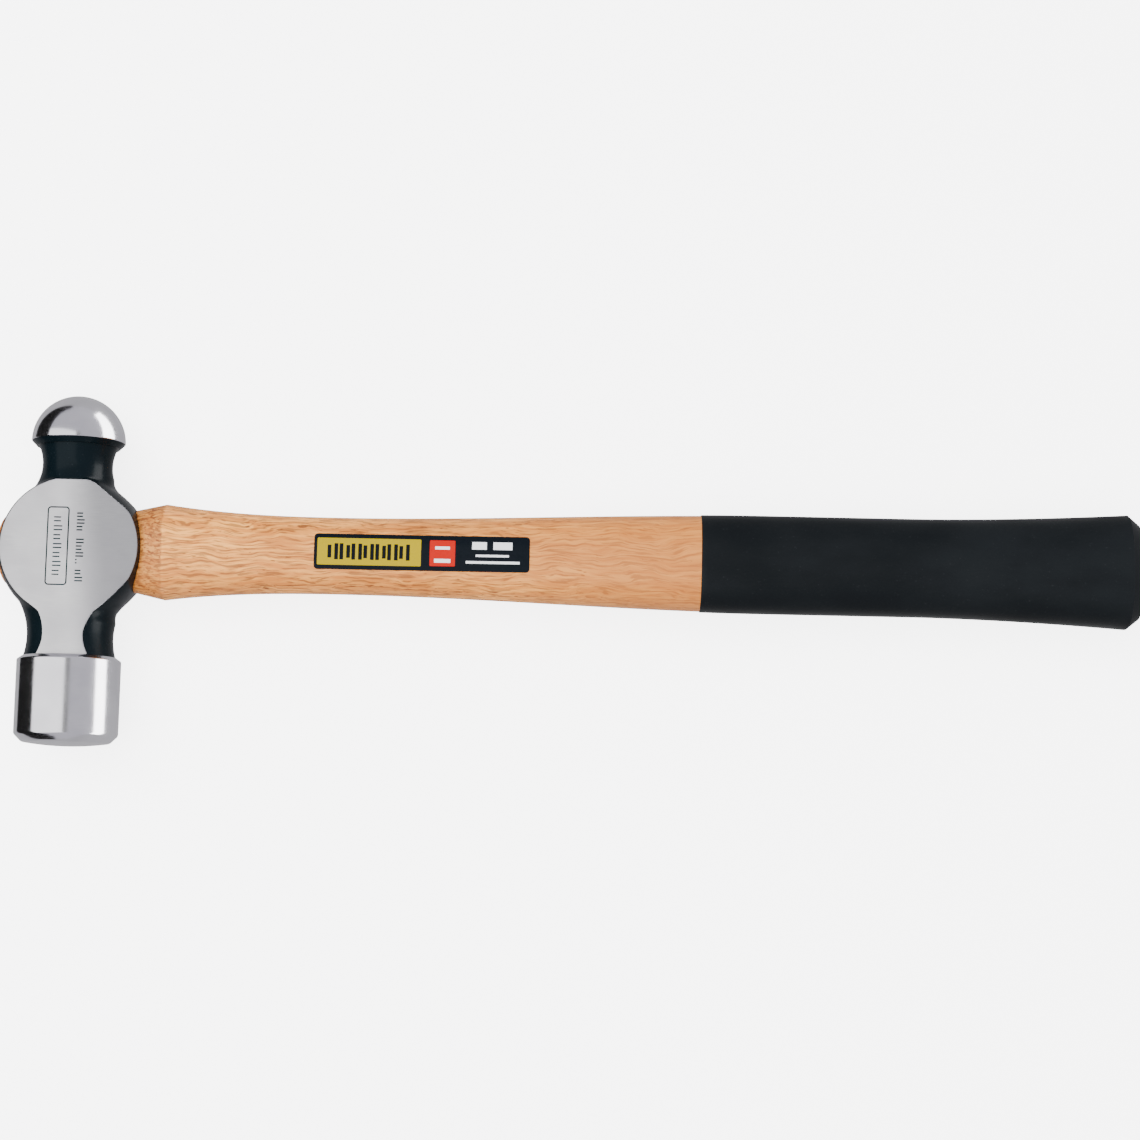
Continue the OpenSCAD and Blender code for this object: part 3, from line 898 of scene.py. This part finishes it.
label_film, tree, shader, place = new_finish(
    "Printed_film", Coat_Weight=0.0, Specular_IOR_Level=0.06)
on_label = add(tree, "Mapping", {
    "Vector": place, "Location": (
        -(eye_centre.x + label_x - label_len / 2), -(eye_centre.y + label_lift), 0)}).outputs[0]


def panel(left, right, low, high, corner=0.0002):
    return use(tree, print_panel, {
        "Place": on_label, "Left": left, "Right": right, "Low": low, "High": high,
        "Corner": corner})["Mask"]


ink = noise(tree, on_label, 900, detail=2)
colour = mixed(tree, ink, tint(0.0020, 0.0035, 0.0055), tint(0.0040, 0.0060, 0.0085))
colour = mixed(
    tree, panel(left=0.0012, right=0.0394, low=-0.0050, high=0.0050, corner=0.0004), colour,
    mixed(tree, ink, tint(0.31, 0.230, 0.0), tint(0.35, 0.260, 0.0)))
stroke_w = 0.0014
for stroke in range(14):
    left = 0.0050 + 0.0022 * stroke + 0.0003 * (stroke % 2)
    half = 0.0030 if stroke % 3 else 0.0024
    colour = mixed(
        tree, panel(left, left + stroke_w, -half, half), colour, tint(0.003, 0.004, 0.006))
colour = mixed(
    tree, panel(left=0.0426, right=0.0520, low=-0.0048, high=0.0048, corner=0.0004), colour,
    mixed(tree, ink, tint(0.36, 0.007, 0.003), tint(0.42, 0.009, 0.004)))
for left, right, low, high in (
        (0.0446, 0.0500, 0.0014, 0.0025), (0.0443, 0.0503, -0.0035, -0.0021),
        (0.0582, 0.0636, 0.0016, 0.0044), (0.0660, 0.0730, 0.0016, 0.0044),
        (0.0596, 0.0718, -0.0011, -0.0003), (0.0560, 0.0758, -0.0036, -0.0027)):
    colour = mixed(
        tree, panel(left, right, low, high, corner=0.0001), colour, tint(0.75, 0.77, 0.78))
tree.links.new(colour, shader.inputs["Base Color"])
touched = use(tree, handling, {"Place": place, "Clean": 0.2, "Smudged": 0.34})
tree.links.new(touched["Roughness"], shader.inputs["Roughness"])
bump(tree, shader, noise(tree, place, 260, (0.4, 1, 1), 2.0), distance=0.00003, strength=0.5)
label.data.materials.append(label_film)
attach(label, "root")
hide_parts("label")

# --- Floor, light and camera ---------------------------------------------------------
# A plain pale floor under plain soft lights. The bright and dark cards beside the hammer
# only show as reflections in its polished steel.
bm = bmesh.new()
bmesh.ops.create_circle(bm, cap_ends=True, segments=96, radius=6)
floor = piece_of(bm, "Floor")
pale_floor, tree, shader, place = new_finish("Pale_floor", Specular_IOR_Level=0.15)
colour = mixed(tree, noise(tree, place, 3, detail=2), (0.86, 0.86, 0.86, 1), (0.88, 0.88, 0.88, 1))
tree.links.new(colour, shader.inputs["Base Color"])
tree.links.new(
    between(tree, noise(tree, place, 40), 0.3, 0.7, 0.8, 0.95), shader.inputs["Roughness"])
shader.inputs["Emission Color"].default_value = (1, 1, 1, 1)
tree.links.new(
    maths(tree, "MULTIPLY", add(tree, "LightPath").outputs["Is Camera Ray"], 4.5),
    shader.inputs["Emission Strength"])
floor.data.materials.append(pale_floor)


def card(name, corners, brightness, hue=(1, 1, 1)):
    """A flat card that only reflections see."""
    bm = bmesh.new()
    bmesh.ops.contextual_create(bm, geom=[bm.verts.new(c) for c in corners])
    made = piece_of(bm, name)
    material = bpy.data.materials.new(name)
    material.use_nodes = True
    tree = material.node_tree
    tree.nodes.remove(tree.nodes["Principled BSDF"])
    glow = add(tree, "Emission", {"Color": (*hue, 1), "Strength": brightness})
    tree.links.new(glow.outputs[0], tree.nodes["Material Output"].inputs["Surface"])
    made.data.materials.append(material)
    made.visible_camera = False
    made.visible_diffuse = False
    made.visible_shadow = False
    made.visible_transmission = False
    return made


def light(name, place, aim, size, power, seen_in_gloss=True):
    """A soft square light that faces a point."""
    data = bpy.data.lights.new(name, "AREA")
    data.shape = "RECTANGLE"
    data.size, data.size_y = size
    data.energy = power
    made = bpy.data.objects.new(name, data)
    made.location = place
    made.rotation_mode = "QUATERNION"
    made.rotation_quaternion = (Vector(aim) - Vector(place)).to_track_quat("-Z", "Y")
    made.visible_glossy = seen_in_gloss
    bpy.context.scene.collection.objects.link(made)
    return made


near_left = eye_centre.x - 0.031
near_right = eye_centre.x + 0.031
card("Black_card", [
    (near_left, -0.20, 0.0195), (near_left, 0.20, 0.0195), (near_left, 0.20, 0.0437),
    (near_left, -0.20, 0.0437)], 0.012)
for end, low_y, high_y, low_z in (
        ("poll", -0.085, -0.031, 0.026), ("ball", 0.036, 0.090, 0.0225)):
    low_y, high_y = eye_centre.y + low_y, eye_centre.y + high_y
    card("White_card_" + end, [
        (near_right, low_y, low_z), (near_right, high_y, low_z),
        (near_right, high_y, 0.038), (near_right, low_y, 0.038)], 9)
card("Grey_floor", [
    (-3, -3, 0.0004), (3, -3, 0.0004), (3, 3, 0.0004), (-3, 3, 0.0004)], 0.62, (0.97, 0.96, 1.0))
card("Left_card", [
    (-1.44, -1.2, 0.30), (-1.44, 0.5, 0.30), (-0.108, 0.5, 1.45), (-0.108, -1.2, 1.45)], 2.2)
card("Dark_gap", [
    (-0.106, -1.2, 1.46), (-0.106, 0.5, 1.46), (0.177, 0.5, 1.46), (0.177, -1.2, 1.46)], 0.32)
light("Overhead", (-0.3, -0.15, 1.7), (0, 0, 0), (2.4, 2.0), 78, False)
light("Key", (-0.9, 0.7, 1.1), (-0.05, 0, 0), (0.9, 0.9), 12, False)

world = bpy.data.worlds.new("Studio")
bpy.context.scene.world = world
world.use_nodes = True
tree = world.node_tree
background = tree.nodes["Background"]
to_camera = add(tree, "LightPath").outputs["Is Camera Ray"]
tree.links.new(
    mixed(tree, to_camera, (0.70, 0.69, 0.75, 1), (6, 6, 6, 1)), background.inputs["Color"])

camera_data = bpy.data.cameras.new("Camera")
camera_data.sensor_width = 36
camera_data.lens = 75.8
camera_data.clip_start, camera_data.clip_end = 0.01, 30
camera = bpy.data.objects.new("Camera", camera_data)
camera.matrix_world = (
    Matrix.Translation((0.0004, -0.1018, 0.9064))
    @ Matrix.Rotation(math.radians(6.80), 4, "X")
    @ Matrix.Rotation(math.radians(1.211), 4, "Z"))
bpy.context.scene.collection.objects.link(camera)
bpy.context.scene.camera = camera
